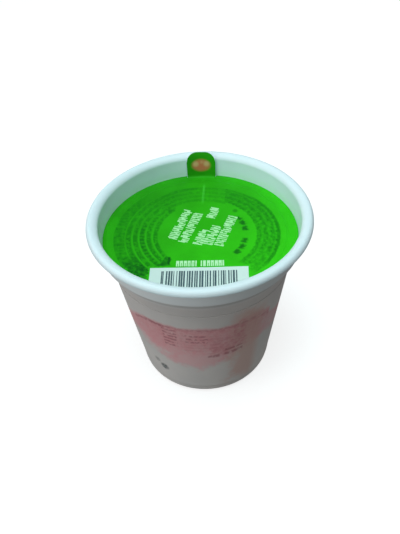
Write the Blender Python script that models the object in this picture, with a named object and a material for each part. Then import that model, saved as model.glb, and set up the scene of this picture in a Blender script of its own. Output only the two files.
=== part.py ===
# Gelato cup: a filled plastic cup, closed by a printed peel-off seal that lies below its lip.
# Metres, +Z up. The origin is the centre of the plane that the foot rests on, and the pull tab is at +Y.
from math import asin, atan, cos, exp, hypot, pi, radians, sin, sqrt, tan

import bpy

MM = 0.001

# Cup, outside
HEIGHT = 71.2 * MM
LIP_RADIUS = 40.0 * MM
LIP_EDGE_DEPTH = 1.9 * MM
LIP_EDGE_ROUNDING = 0.2 * MM
LIP_FILLET = 0.5 * MM
COLLAR_TOP_RADIUS = 36.9 * MM
COLLAR_BOTTOM_RADIUS = 36.6 * MM
COLLAR_BOTTOM_DEPTH = 9.7 * MM
STEP_HEIGHT = 0.35 * MM
BODY_FOOT_RADIUS = 25.5 * MM
BODY_TAPER = 0.1045
FLARE_START_HEIGHT = 39.2 * MM
FLARE_RISE = 22.0 * MM
FLARE_REACH = 3.95 * MM
FLARE_POWER = 1.5
BOTTOM_EDGE_RADIUS = 4.0 * MM

# Cup, underside
FOOT_INNER_RADIUS = 19.0 * MM
RECESS_RADIUS = 17.6 * MM
RECESS_DEPTH = 1.6 * MM

# Cup, inside: the space above the contents
LIP_CREST_RADIUS = 38.5 * MM
SHOULDER_RADIUS = 36.2 * MM
SHOULDER_DEPTH = 2.2 * MM
WALL_FOOT_RADIUS = 35.8 * MM
FILL_DEPTH = 9.8 * MM
WALL_FILLET = 0.35 * MM

# Seal
SEAL_DEPTH = 8.8 * MM
SEAL_RADIUS = 35.4 * MM
SEAL_THICKNESS = 0.4 * MM
SEAL_DISH = 0.3 * MM
WELD_INNER_RADIUS = 31.4 * MM
WELD_OUTER_RADIUS = 34.3 * MM
WELD_SINK = 0.2 * MM
WELD_SLOPE = 0.5 * MM
CREASE_HEIGHT = 0.15 * MM
CREASE_WIDTH = 0.9 * MM
CREASE_START_RADIUS = 14.0 * MM
CREASE_RISE = 12.0 * MM

# Pull tab, which is one piece with the seal and is folded up against the wall
TAB_WIDTH = 11.4 * MM
TAB_CORNER = 4.2 * MM
TAB_ROOT_ANGLE = radians(1.2)
TAB_FOLD_START_RADIUS = 34.55 * MM
TAB_FOLD_RADIUS = 0.5 * MM
TAB_LEAN = radians(4.0)
TAB_CURL = radians(16.0)
TAB_CURL_START = 6.0 * MM
TAB_LENGTH = 10.6 * MM

# Fineness of the faceted surfaces
TURN_STEPS = 80
LIP_STEPS = 6
FLARE_STEPS = 8
FILLET_STEPS = 6
SEAL_SIDE_STEPS = 72
TAB_COLUMNS = 12
TAB_ROWS = 12
MERGE = 0.01 * MM
SHARP_ANGLE = radians(35.0)


def clear_scene():
    for item in list(bpy.data.objects):
        bpy.data.objects.remove(item, do_unlink=True)


def make_material(name, colour, roughness, metallic):
    material = bpy.data.materials.new(name)
    material.use_nodes = True
    shader = material.node_tree.nodes["Principled BSDF"]
    shader.inputs["Base Color"].default_value = (*colour, 1.0)
    shader.inputs["Roughness"].default_value = roughness
    shader.inputs["Metallic"].default_value = metallic
    return material


def add_object(name, points, edges, faces, material):
    mesh = bpy.data.meshes.new(name)
    mesh.from_pydata(points, edges, faces)
    mesh.update()
    mesh.materials.append(material)
    item = bpy.data.objects.new(name, mesh)
    bpy.context.scene.collection.objects.link(item)
    return item


def settle(item):
    """Keep what the modifiers make as the object's own mesh, shaded smooth up to its sharp edges."""
    view = bpy.context.evaluated_depsgraph_get()
    mesh = bpy.data.meshes.new_from_object(item.evaluated_get(view))
    item.modifiers.clear()
    item.data = mesh
    mesh.shade_smooth()
    mesh.set_sharp_from_angle(angle=SHARP_ANGLE)
    return item


def ellipse_arc(centre, half_width, half_height, start, end, steps):
    """Points (radius, height) along part of an ellipse, both ends included."""
    angles = [start + (end - start) * i / steps for i in range(steps + 1)]
    return [(centre[0] + half_width * cos(a), centre[1] + half_height * sin(a)) for a in angles]


def body_radius(height):
    """The body's outer radius: a straight taper that flares out below the collar."""
    flare = max(0.0, height - FLARE_START_HEIGHT) / FLARE_RISE
    return BODY_FOOT_RADIUS + BODY_TAPER * height + FLARE_REACH * flare ** FLARE_POWER


def inside_profile():
    """From the centre of the contents' top outwards, up the wall and over the shoulder to the crest."""
    fill_height = HEIGHT - FILL_DEPTH
    shoulder = (LIP_CREST_RADIUS, HEIGHT - SHOULDER_DEPTH)
    corner = (WALL_FOOT_RADIUS - WALL_FILLET, fill_height + WALL_FILLET)
    return [
        (0.0, fill_height),
        *ellipse_arc(corner, WALL_FILLET, WALL_FILLET, -pi / 2, 0.0, 2),
        *ellipse_arc(shoulder, LIP_CREST_RADIUS - SHOULDER_RADIUS, SHOULDER_DEPTH, pi, pi / 2, LIP_STEPS),
    ]


def lip_profile():
    """From the crest down the lip's sloping top, round its outer edge and back under it to the collar."""
    edge_height = HEIGHT - LIP_EDGE_DEPTH
    edge_radius = LIP_RADIUS - LIP_EDGE_ROUNDING
    fillet = (COLLAR_TOP_RADIUS + LIP_FILLET, edge_height - LIP_EDGE_ROUNDING - LIP_FILLET)
    slope_width = LIP_RADIUS - LIP_CREST_RADIUS
    return [
        *ellipse_arc((LIP_CREST_RADIUS, edge_height), slope_width, LIP_EDGE_DEPTH, pi / 2, 0.0, LIP_STEPS)[1:],
        *ellipse_arc((edge_radius, edge_height), LIP_EDGE_ROUNDING, LIP_EDGE_ROUNDING, 0.0, -pi / 2, 2)[1:],
        *ellipse_arc(fillet, LIP_FILLET, LIP_FILLET, pi / 2, pi, 3),
    ]


def body_profile():
    """From the collar's lower edge over the step, down the flare and round the bottom edge."""
    step_top = HEIGHT - COLLAR_BOTTOM_DEPTH
    body_top = step_top - STEP_HEIGHT
    flare = [body_top + (FLARE_START_HEIGHT - body_top) * i / FLARE_STEPS for i in range(FLARE_STEPS + 1)]
    slope = atan(BODY_TAPER)
    centre_radius = body_radius(BOTTOM_EDGE_RADIUS) - BOTTOM_EDGE_RADIUS / cos(slope)
    centre = (centre_radius, BOTTOM_EDGE_RADIUS)
    edge = ellipse_arc(centre, BOTTOM_EDGE_RADIUS, BOTTOM_EDGE_RADIUS, -slope, -pi / 2, FILLET_STEPS)
    middle = (FLARE_START_HEIGHT + BOTTOM_EDGE_RADIUS) / 2
    return [
        (COLLAR_BOTTOM_RADIUS, step_top + STEP_HEIGHT),
        (COLLAR_BOTTOM_RADIUS - STEP_HEIGHT / 2, step_top),
        *[(body_radius(height), height) for height in flare],
        (body_radius(middle), middle),
        *edge,
    ]


def underside_profile():
    """From the foot's inner edge up into the recess and to the axis."""
    return [(FOOT_INNER_RADIUS, 0.0), (RECESS_RADIUS, RECESS_DEPTH), (0.0, RECESS_DEPTH)]


def add_cup(material):
    """One turned solid: the cup with its contents, which the seal hides."""
    profile = inside_profile() + lip_profile() + body_profile() + underside_profile()
    points = [(radius, 0.0, height) for radius, height in profile]
    edges = [(i, i + 1) for i in range(len(points) - 1)]
    cup = add_object("cup", points, edges, [], material)
    turn = cup.modifiers.new("Turn", "SCREW")
    turn.axis = "Z"
    turn.angle = 2 * pi
    turn.steps = TURN_STEPS
    turn.render_steps = TURN_STEPS
    turn.use_merge_vertices = True
    turn.merge_threshold = MERGE
    return settle(cup)


def ease(value, start, end):
    """A smooth rise from 0 at start to 1 at end."""
    t = min(1.0, max(0.0, (value - start) / (end - start)))
    return t * t * (3.0 - 2.0 * t)


def seal_relief(x, y):
    """Height of the seal above its edge: the dished middle, the welded ring and the crease to the tab."""
    radius = hypot(x, y)
    dish = -SEAL_DISH * max(0.0, 1.0 - (radius / WELD_INNER_RADIUS) ** 2)
    into_weld = ease(radius, WELD_INNER_RADIUS - WELD_SLOPE, WELD_INNER_RADIUS)
    out_of_weld = ease(radius, WELD_OUTER_RADIUS, WELD_OUTER_RADIUS + WELD_SLOPE)
    weld = -WELD_SINK * into_weld * (1.0 - out_of_weld)
    along = ease(y, CREASE_START_RADIUS, CREASE_START_RADIUS + CREASE_RISE)
    crease = CREASE_HEIGHT * along * (1.0 - into_weld) * exp(-(x / CREASE_WIDTH) ** 2)
    return dish + weld + crease


def tab_half_angle():
    return asin(TAB_WIDTH / 2 / SEAL_RADIUS)


def seal_bearings():
    """Angles from +Y round the seal: fine across the tab and at its root, coarser round the rest."""
    half = tab_half_angle()
    across = [-half + 2 * half * i / TAB_COLUMNS for i in range(TAB_COLUMNS + 1)]
    root = half + TAB_ROOT_ANGLE
    rest = 2 * (pi - root)
    around = [root + rest * i / SEAL_SIDE_STEPS for i in range(SEAL_SIDE_STEPS + 1)]
    return across + around


def seal_radii():
    """Radii of the seal's rings, closest where the welded ring slopes; the last is the edge."""
    inside = [WELD_INNER_RADIUS * share for share in (0.22, 0.45, 0.62, 0.78, 0.91)]
    into_weld = [WELD_INNER_RADIUS - WELD_SLOPE, WELD_INNER_RADIUS]
    out_of_weld = [WELD_OUTER_RADIUS, WELD_OUTER_RADIUS + WELD_SLOPE]
    return inside + into_weld + out_of_weld + [SEAL_RADIUS]


def drawn_in(radius):
    """A ring's radius across the tab, where the flat part ends at the fold instead of at the edge."""
    share = max(0.0, radius - WELD_INNER_RADIUS) / (SEAL_RADIUS - WELD_INNER_RADIUS)
    return radius - share * (SEAL_RADIUS - TAB_FOLD_START_RADIUS)


def tab_path(distance):
    """Radius and height of the tab at a distance along it from where it leaves the flat seal."""
    base_height = HEIGHT - SEAL_DEPTH
    upright = pi / 2 - TAB_LEAN
    fold = TAB_FOLD_RADIUS * upright
    turned = min(distance, fold) / TAB_FOLD_RADIUS
    radius = TAB_FOLD_START_RADIUS + TAB_FOLD_RADIUS * sin(turned)
    height = base_height + TAB_FOLD_RADIUS * (1.0 - cos(turned))
    straight = max(0.0, distance - fold)
    curled = max(0.0, straight - TAB_CURL_START)
    curl_length = TAB_LENGTH - fold - TAB_CURL_START
    lean_out = straight * sin(TAB_LEAN) + curled ** 2 / curl_length * tan(TAB_CURL) / 2
    return radius + lean_out, height + straight * cos(TAB_LEAN)


def tab_reach(across):
    """Length of the tab at a distance from its centre line, less where its end corners are rounded."""
    past = max(0.0, abs(across) - (TAB_WIDTH / 2 - TAB_CORNER))
    return TAB_LENGTH - TAB_CORNER + sqrt(max(0.0, TAB_CORNER ** 2 - past ** 2))


def polar(radius, bearing, height):
    return (radius * sin(bearing), radius * cos(bearing), height)


def add_disc(points, faces, bearings):
    """The seal's flat part; returns the points of its edge, of which the first lie across the tab."""
    edge_height = HEIGHT - SEAL_DEPTH
    count = len(bearings)
    points.append((0.0, 0.0, edge_height + seal_relief(0.0, 0.0)))
    inner = None
    for radius in seal_radii():
        outer = list(range(len(points), len(points) + count))
        for i, bearing in enumerate(bearings):
            reach = drawn_in(radius) if i <= TAB_COLUMNS else radius
            x, y, height = polar(reach, bearing, edge_height)
            points.append((x, y, height + seal_relief(x, y)))
        for i in range(count):
            after = (i + 1) % count
            if inner is None:
                faces.append((0, outer[after], outer[i]))
            else:
                faces.append((inner[i], inner[after], outer[after], outer[i]))
        inner = outer
    return inner


def add_tab(points, faces, bearings, root):
    """The pull tab's rows of faces, from the seal's edge up to the rounded end."""
    below = root
    for row in range(1, TAB_ROWS + 1):
        here = list(range(len(points), len(points) + TAB_COLUMNS + 1))
        for i in range(TAB_COLUMNS + 1):
            across = TAB_WIDTH * (i / TAB_COLUMNS - 0.5)
            radius, height = tab_path(tab_reach(across) * row / TAB_ROWS)
            points.append(polar(radius, bearings[i], height))
        for i in range(TAB_COLUMNS):
            faces.append((below[i], below[i + 1], here[i + 1], here[i]))
        below = here


def add_seal(material):
    """The membrane's printed face as one sheet, with its tab, thickened downwards and outwards."""
    points = []
    faces = []
    bearings = seal_bearings()
    edge = add_disc(points, faces, bearings)
    add_tab(points, faces, bearings, edge[:TAB_COLUMNS + 1])
    seal = add_object("seal", points, [], faces, material)
    thicken = seal.modifiers.new("Film thickness", "SOLIDIFY")
    thicken.thickness = SEAL_THICKNESS
    thicken.offset = -1.0
    thicken.use_even_offset = True
    return settle(seal)


def main():
    clear_scene()
    cup_plastic = make_material("cup plastic", (0.80, 0.83, 0.84), 0.42, 0.0)
    seal_film = make_material("printed seal film", (0.05, 0.44, 0.03), 0.36, 0.0)
    add_cup(cup_plastic)
    add_seal(seal_film)


main()
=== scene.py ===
import random
from math import asin, atan, cos, exp, hypot, pi, radians, sin, sqrt, tan

import bpy
from mathutils import Matrix, Vector, noise


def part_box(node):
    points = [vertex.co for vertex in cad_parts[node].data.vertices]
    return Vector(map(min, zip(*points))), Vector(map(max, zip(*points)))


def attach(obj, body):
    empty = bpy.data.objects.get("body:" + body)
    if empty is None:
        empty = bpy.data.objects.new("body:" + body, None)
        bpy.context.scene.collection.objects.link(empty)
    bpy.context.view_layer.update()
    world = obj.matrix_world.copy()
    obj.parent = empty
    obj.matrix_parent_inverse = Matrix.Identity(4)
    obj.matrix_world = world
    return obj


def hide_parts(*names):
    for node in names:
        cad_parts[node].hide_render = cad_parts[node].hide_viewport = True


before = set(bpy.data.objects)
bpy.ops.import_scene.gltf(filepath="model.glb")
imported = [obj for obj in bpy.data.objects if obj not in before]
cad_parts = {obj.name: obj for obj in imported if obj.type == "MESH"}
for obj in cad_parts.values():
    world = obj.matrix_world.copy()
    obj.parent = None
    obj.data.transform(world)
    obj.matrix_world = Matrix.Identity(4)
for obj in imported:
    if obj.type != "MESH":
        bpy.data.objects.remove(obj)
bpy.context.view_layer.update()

MM = 0.001
BODY = "root"
CUP_SLOT = "cup_plastic"
FILM_SLOT = "seal_film"
FLAT_MAP = "OFBake"

# Sizes from the frame
LIP_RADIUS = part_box("cup")[1][0]
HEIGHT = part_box("cup")[1][2]
FILM_TRIM = 0.25 * MM
FILM_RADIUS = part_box("seal")[1][0] - FILM_TRIM
TAB_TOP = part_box("seal")[1][2]

# Cup, outside
LIP_EDGE_DEPTH = 1.9 * MM
LIP_EDGE_ROUNDING = 0.2 * MM
LIP_FILLET = 0.5 * MM
COLLAR_TOP_RADIUS = 36.9 * MM
COLLAR_BOTTOM_RADIUS = 36.6 * MM
COLLAR_BOTTOM_DEPTH = 9.7 * MM
COLLAR_WAIST = 0.22 * MM
STEP_HEIGHT = 0.35 * MM
GROOVE_DEPTH = 0.55 * MM
GROOVE_HEIGHT = 1.0 * MM
BODY_FOOT_RADIUS = 25.5 * MM
BODY_TAPER = 0.1045
FLARE_START_HEIGHT = 39.2 * MM
FLARE_RISE = 22.0 * MM
FLARE_REACH = 3.95 * MM
FLARE_POWER = 1.5
BOTTOM_EDGE_RADIUS = 4.0 * MM
PRINT_TOP_HEIGHT = 52.4 * MM
PRINT_BOTTOM_HEIGHT = 4.6 * MM
PRINT_THICKNESS = 0.11 * MM
PRINT_GAP = 0.015 * MM
SIDE_FRONT_ANGLE = radians(50.6)

# Cup, underside
FOOT_INNER_RADIUS = 19.0 * MM
RECESS_RADIUS = 17.6 * MM
RECESS_DEPTH = 1.6 * MM
GATE_RADIUS = 1.6 * MM
GATE_RIM_RADIUS = GATE_RADIUS * 1.3
GATE_DEPTH = 0.45 * MM

# Cup, inside
LIP_CREST_RADIUS = 38.5 * MM
SHOULDER_RADIUS = 35.8 * MM
SHOULDER_DEPTH = 2.2 * MM
WALL_FOOT_RADIUS = 35.25 * MM
FILL_DEPTH = 9.7 * MM
LEDGE_DEPTH = 9.2 * MM
LEDGE_WIDTH = 5.0 * MM
WALL_FILLET = 0.1 * MM

# Film
FILM_DEPTH = 8.8 * MM
FILM_THICKNESS = 0.14 * MM
FILM_DISH = 0.3 * MM
WELD_INNER_RADIUS = 31.4 * MM
WELD_OUTER_RADIUS = 33.9 * MM
WELD_SINK = 0.2 * MM
WELD_SLOPE = 0.5 * MM
CREASE_HEIGHT = 0.22 * MM
CREASE_WIDTH = 0.55 * MM
CREASE_START_RADIUS = 14.0 * MM
CREASE_RISE = 9.0 * MM
CREASE_SLANT = 0.04
WAVE_HEIGHT = 0.10 * MM
WAVE_LENGTH = 13.0 * MM
WAVE_FADE = 6.0 * MM

# Pull tab
TAB_WIDTH = 11.4 * MM
TAB_CORNER = 4.2 * MM
TAB_ROOT_ANGLE = radians(0.3)
TAB_FOLD_START_RADIUS = 33.95 * MM
TAB_FOLD_RADIUS = 0.45 * MM
TAB_LEAN = radians(7.0)
TAB_CURL = radians(16.0)
TAB_CURL_START = 6.0 * MM
TAB_TWIST = 0.3 * MM
TAB_END_TRIM = 0.05 * MM

# Fineness
TURN_STEPS = 192
ARC_STEPS = 16
FILLET_STEPS = 6
EDGE_STEPS = 5
WALL_FILLET_STEPS = 4
WAIST_STEPS = 10
FLARE_STEPS = 24
TAPER_STEPS = 12
RECESS_STEPS = 8
PRINT_STEPS = 48
DISC_STEPS = 36
WELD_STEPS = 4
TAB_COLUMNS = 24
TAB_ROWS = 32
SHARP_ANGLE = radians(50.0)

# Flat map of the film, in millimetres: its width, and the place of the disc's centre on it
MAP_SPAN = 84.0
MAP_CENTRE = 36.6

# Flat map of the film's unprinted side, and of each half of the side print, as shares of the whole map
BACK_MAP_SCALE = 0.1
BACK_MAP_CORNER = (0.01, 0.89)
SIDE_MAP_FOOT = 0.01
SIDE_MAP_TALL = 0.47


class Finish:
    """The nodes of one material or world, around the shader that they feed."""

    def __init__(self, owner, shader):
        self.owner = owner
        owner.use_nodes = True
        self.tree = owner.node_tree
        self.shader = self.tree.nodes[shader]

    def node(self, kind, settings=None, inputs=None, output=0):
        made = self.tree.nodes.new(kind)
        for name, setting in (settings or {}).items():
            setattr(made, name, setting)
        for key, value in (inputs or {}).items():
            self.feed(made.inputs[key], value)
        return Value(self, made.outputs[output])

    def feed(self, socket, value):
        if isinstance(value, Value):
            self.tree.links.new(value.socket, socket)
        else:
            socket.default_value = value

    def shade(self, **inputs):
        for name, value in inputs.items():
            self.feed(self.shader.inputs[name.replace("_", " ")], value)

    def math(self, operation, *values):
        return self.node("ShaderNodeMath", {"operation": operation}, dict(enumerate(values)))

    def point(self, x, y, z=0.0):
        return self.node("ShaderNodeCombineXYZ", None, {0: x, 1: y, 2: z})

    def parts(self, vector):
        split = self.node("ShaderNodeSeparateXYZ", None, {0: vector}).socket.node
        return [Value(self, socket) for socket in split.outputs]

    def place(self):
        """The surface's own place in millimetres."""
        here = self.node("ShaderNodeTexCoord", output=3)
        return self.node("ShaderNodeVectorMath", {"operation": "SCALE"}, {0: here, "Scale": 1 / MM})

    def random(self, cell, row=0.0, seed=0.0):
        """A number from 0 to 1 that is the same all over a cell."""
        where = self.point(cell, row, seed)
        return self.node("ShaderNodeTexWhiteNoise", {"noise_dimensions": "3D"}, {"Vector": where})

    def cloud(self, vector, scale, detail=2.0, roughness=0.5):
        """Soft noise about 0.5."""
        levels = {"Vector": vector, "Scale": scale, "Detail": detail, "Roughness": roughness}
        return self.node("ShaderNodeTexNoise", {"noise_dimensions": "3D"}, levels)

    def colour(self, mask, below, above):
        """The colour below where the mask is 0, turning to the one above where it is 1."""
        return self.node("ShaderNodeMix", {"data_type": "RGBA"}, {0: mask, 6: below, 7: above}, 2)

    def relief(self, height, distance):
        return self.node("ShaderNodeBump", None, {"Height": height, "Distance": distance, "Strength": 1.0})


class Value:
    """A shader socket. Arithmetic on it adds Math nodes, so a mask is written as a sum or a product."""

    def __init__(self, finish, socket):
        self.finish = finish
        self.socket = socket

    def __add__(self, other):
        return self.finish.math("ADD", self, other)

    __radd__ = __add__

    def __sub__(self, other):
        return self.finish.math("SUBTRACT", self, other)

    def __rsub__(self, other):
        return self.finish.math("SUBTRACT", other, self)

    def __mul__(self, other):
        return self.finish.math("MULTIPLY", self, other)

    __rmul__ = __mul__

    def __truediv__(self, other):
        return self.finish.math("DIVIDE", self, other)

    def __neg__(self):
        return self.finish.math("MULTIPLY", self, -1.0)

    def __abs__(self):
        return self.finish.math("ABSOLUTE", self)

    def __gt__(self, other):
        return self.finish.math("GREATER_THAN", self, other)

    def floor(self):
        return self.finish.math("FLOOR", self)

    def fraction(self):
        return self.finish.math("FRACT", self)

    def root(self):
        return self.finish.math("SQRT", self)

    def either(self, other):
        return self.finish.math("MAXIMUM", self, other)

    def both(self, other):
        return self.finish.math("MINIMUM", self, other)

    def rise(self, start, end):
        """0 before start, 1 after end and a smooth step between them."""
        levels = {"Value": self, "From Min": start, "From Max": end}
        return self.finish.node("ShaderNodeMapRange", {"interpolation_type": "SMOOTHSTEP"}, levels)

    def fall(self, start, end):
        """1 before start, 0 after end and a smooth step between them."""
        return self.rise(end, start)

    def within(self, low, high, soft):
        """1 between low and high, with soft edges inside them."""
        return self.rise(low, low + soft) * self.fall(high - soft, high)


class Skin:
    """The points, faces and flat map of one mesh, gathered row by row."""

    def __init__(self):
        self.points = []
        self.faces = []
        self.flat = []

    def row(self, places):
        first = len(self.points)
        self.points.extend(places)
        return list(range(first, first + len(places)))

    def strip(self, above, below, flat_above, flat_below):
        """Faces between two rows. A pole is a row of one point, but has a flat place for each column."""
        for i in range(max(len(above), len(below)) - 1):
            corners = [(row[i], row[i + 1]) if len(row) > 1 else (row[0],) for row in (above, below)]
            flat = [
                (places[i], places[i + 1]) if len(row) > 1 else (places[i],)
                for row, places in ((above, flat_above), (below, flat_below))
            ]
            self.faces.append((corners[0][0], *corners[1], *corners[0][1:]))
            self.flat.append((flat[0][0], *flat[1], *flat[0][1:]))

    def mesh(self, name):
        mesh = bpy.data.meshes.new(name)
        mesh.from_pydata(self.points, [], self.faces)
        layer = mesh.uv_layers.new(name=FLAT_MAP)
        corner = 0
        for flat in self.flat:
            for place in flat:
                layer.data[corner].uv = place
                corner += 1
        return mesh


def add_piece(name, mesh, slot, *finishes):
    for finish in finishes:
        mesh.materials.append(finish)
    mesh.shade_smooth()
    mesh.set_sharp_from_angle(angle=SHARP_ANGLE)
    piece = bpy.data.objects.new(name, mesh)
    bpy.context.scene.collection.objects.link(piece)
    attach(piece, BODY)
    return piece


def ease(value, start, end):
    """A smooth rise from 0 at start to 1 at end."""
    t = min(1.0, max(0.0, (value - start) / (end - start)))
    return t * t * (3.0 - 2.0 * t)


def spread(start, end, steps):
    return [start + (end - start) * i / steps for i in range(steps + 1)]


def polar(radius, bearing, height):
    """A point at an angle from +Y, turning towards +X."""
    return (radius * sin(bearing), radius * cos(bearing), height)


def ellipse_arc(centre, half_width, half_height, start, end, steps):
    """Points (radius, height) along part of an ellipse, both ends included."""
    return [
        (centre[0] + half_width * cos(a), centre[1] + half_height * sin(a))
        for a in spread(start, end, steps)
    ]


def circle_arc(centre, radius, start, end, steps):
    """Points (radius, height) along part of a circle, both ends included."""
    return ellipse_arc(centre, radius, radius, start, end, steps)


def body_radius(height):
    """The body's outer radius: a straight taper that flares out below the collar."""
    flare = max(0.0, height - FLARE_START_HEIGHT) / FLARE_RISE
    return BODY_FOOT_RADIUS + BODY_TAPER * height + FLARE_REACH * flare ** FLARE_POWER


def inside_profile():
    """From the axis below the film, over the ledge that carries it and up the wall to the lip's crest."""
    ledge = WALL_FOOT_RADIUS - LEDGE_WIDTH
    wall_corner = (WALL_FOOT_RADIUS - WALL_FILLET, HEIGHT - LEDGE_DEPTH + WALL_FILLET)
    shoulder = (LIP_CREST_RADIUS, HEIGHT - SHOULDER_DEPTH)
    shoulder_width = LIP_CREST_RADIUS - SHOULDER_RADIUS
    return [
        (0.0, HEIGHT - FILL_DEPTH),
        (ledge - (FILL_DEPTH - LEDGE_DEPTH), HEIGHT - FILL_DEPTH),
        (ledge, HEIGHT - LEDGE_DEPTH),
        *circle_arc(wall_corner, WALL_FILLET, -pi / 2, 0.0, WALL_FILLET_STEPS),
        *ellipse_arc(shoulder, shoulder_width, SHOULDER_DEPTH, pi, pi / 2, ARC_STEPS),
    ]


def lip_profile():
    """From the crest down the lip's sloping top, round its outer edge and back under it to the collar."""
    edge_height = HEIGHT - LIP_EDGE_DEPTH
    crest = (LIP_CREST_RADIUS, edge_height)
    edge = (LIP_RADIUS - LIP_EDGE_ROUNDING, edge_height)
    fillet = (COLLAR_TOP_RADIUS + LIP_FILLET, edge_height - LIP_EDGE_ROUNDING - LIP_FILLET)
    return [
        *ellipse_arc(crest, LIP_RADIUS - LIP_CREST_RADIUS, LIP_EDGE_DEPTH, pi / 2, 0.0, ARC_STEPS)[1:],
        *circle_arc(edge, LIP_EDGE_ROUNDING, 0.0, -pi / 2, EDGE_STEPS)[1:],
        *circle_arc(fillet, LIP_FILLET, pi / 2, pi, FILLET_STEPS),
    ]


def collar_profile():
    """Down the slightly waisted collar, round its lower edge and into the groove below it."""
    top = HEIGHT - LIP_EDGE_DEPTH - LIP_EDGE_ROUNDING - LIP_FILLET
    step_top = HEIGHT - COLLAR_BOTTOM_DEPTH
    low = step_top + STEP_HEIGHT
    narrowing = COLLAR_BOTTOM_RADIUS - COLLAR_TOP_RADIUS
    waist = [
        (COLLAR_TOP_RADIUS + narrowing * share - COLLAR_WAIST * sin(pi * share), top + (low - top) * share)
        for share in spread(0.0, 1.0, WAIST_STEPS)[1:-1]
    ]
    step = circle_arc((COLLAR_BOTTOM_RADIUS - STEP_HEIGHT, low), STEP_HEIGHT, 0.0, -pi / 2, EDGE_STEPS)
    groove = [
        (body_radius(height) - GROOVE_DEPTH, height)
        for height in (step_top - STEP_HEIGHT / 2, step_top - GROOVE_HEIGHT / 2)
    ]
    return waist + step + groove


def body_profile():
    """From below the groove down the flare and the taper, and round the bottom edge to the foot."""
    top = HEIGHT - COLLAR_BOTTOM_DEPTH - GROOVE_HEIGHT
    slope = atan(BODY_TAPER)
    foot_edge = (body_radius(BOTTOM_EDGE_RADIUS) - BOTTOM_EDGE_RADIUS / cos(slope), BOTTOM_EDGE_RADIUS)
    flare = spread(top, FLARE_START_HEIGHT, FLARE_STEPS)
    taper = spread(FLARE_START_HEIGHT, BOTTOM_EDGE_RADIUS, TAPER_STEPS)[1:]
    return [
        *[(body_radius(height), height) for height in flare + taper],
        *circle_arc(foot_edge, BOTTOM_EDGE_RADIUS, -slope, -pi / 2, ARC_STEPS),
    ]


def underside_profile():
    """From the foot's inner edge up into the recess and to the moulding mark on the axis."""
    width = RECESS_RADIUS - FOOT_INNER_RADIUS
    slope = [
        (FOOT_INNER_RADIUS + width * share, RECESS_DEPTH * ease(share, 0.0, 1.0))
        for share in spread(0.0, 1.0, RECESS_STEPS)[1:]
    ]
    return [
        (FOOT_INNER_RADIUS, 0.0),
        *slope,
        (GATE_RIM_RADIUS, RECESS_DEPTH),
        (GATE_RADIUS, RECESS_DEPTH - GATE_DEPTH),
        (0.0, RECESS_DEPTH - GATE_DEPTH),
    ]


def add_cup(finish):
    """The turned cup shell. It is closed below the film, where nothing shows."""
    skin = Skin()
    profile = inside_profile() + lip_profile() + collar_profile() + body_profile() + underside_profile()
    lengths = [0.0]
    for before, after in zip(profile, profile[1:]):
        lengths.append(lengths[-1] + hypot(after[0] - before[0], after[1] - before[1]))
    shares = spread(0.0, 1.0, TURN_STEPS)
    rows = []
    for radius, height in profile:
        if radius == 0.0:
            rows.append(skin.row([(0.0, 0.0, height)]))
        else:
            ring = skin.row([polar(radius, -2 * pi * share, height) for share in shares[:-1]])
            rows.append(ring + ring[:1])
    flats = [[(share, 1.0 - length / lengths[-1]) for share in shares] for length in lengths]
    for i in range(len(rows) - 1):
        skin.strip(rows[i], rows[i + 1], flats[i], flats[i + 1])
    cup = add_piece("cup_shell", skin.mesh("cup_shell"), CUP_SLOT, finish)
    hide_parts("cup")


def add_side_print(front, back):
    """The printed skin of the side: a thin closed band round the body, whose two edges stand just proud."""
    skin = Skin()
    heights = spread(PRINT_TOP_HEIGHT, PRINT_BOTTOM_HEIGHT, PRINT_STEPS)
    edge = PRINT_THICKNESS / 2
    outside = [(body_radius(height) + PRINT_GAP + PRINT_THICKNESS, height) for height in heights]
    outside[0] = (outside[0][0] - edge, heights[0])
    outside[-1] = (outside[-1][0] - edge, heights[-1])
    outside.insert(1, (outside[0][0] + edge, heights[0] - edge))
    outside.insert(-1, (outside[-1][0] + edge, heights[-1] + edge))
    inside = [(body_radius(height) + PRINT_GAP, height) for height in (heights[-1], heights[0])]
    bearings = [pi / 2 + 2 * pi * i / TURN_STEPS for i in range(TURN_STEPS)]
    rows = []
    for radius, height in outside + inside:
        ring = skin.row([polar(radius, -bearing + pi, height) for bearing in bearings])
        rows.append(ring + ring[:1])

    # Each half turn has its own half of the flat map. The hidden inside has only a line of it.
    half_turn = TURN_STEPS // 2
    shares = spread(0.0, 1.0, half_turn)
    tall = PRINT_TOP_HEIGHT - PRINT_BOTTOM_HEIGHT
    for i in range(len(rows)):
        above, below = rows[i], rows[(i + 1) % len(rows)]
        levels = (0.0, 0.0)
        if i + 1 < len(outside):
            rises = [height - PRINT_BOTTOM_HEIGHT for height in (outside[i][1], outside[i + 1][1])]
            levels = [SIDE_MAP_FOOT + SIDE_MAP_TALL * rise / tall for rise in rises]
        for half in range(2):
            columns = slice(half * half_turn, (half + 1) * half_turn + 1)
            base = 0.5 * (1 - half)
            flats = [[(share, base + level) for share in shares] for level in levels]
            skin.strip(above[columns], below[columns], *flats)
    mesh = skin.mesh("side_print")
    for face in mesh.polygons:
        across, depth, _ = face.center
        face.material_index = 0 if -depth > hypot(across, depth) * cos(SIDE_FRONT_ANGLE) else 1
    add_piece("side_print", mesh, CUP_SLOT, front, back)


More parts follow.
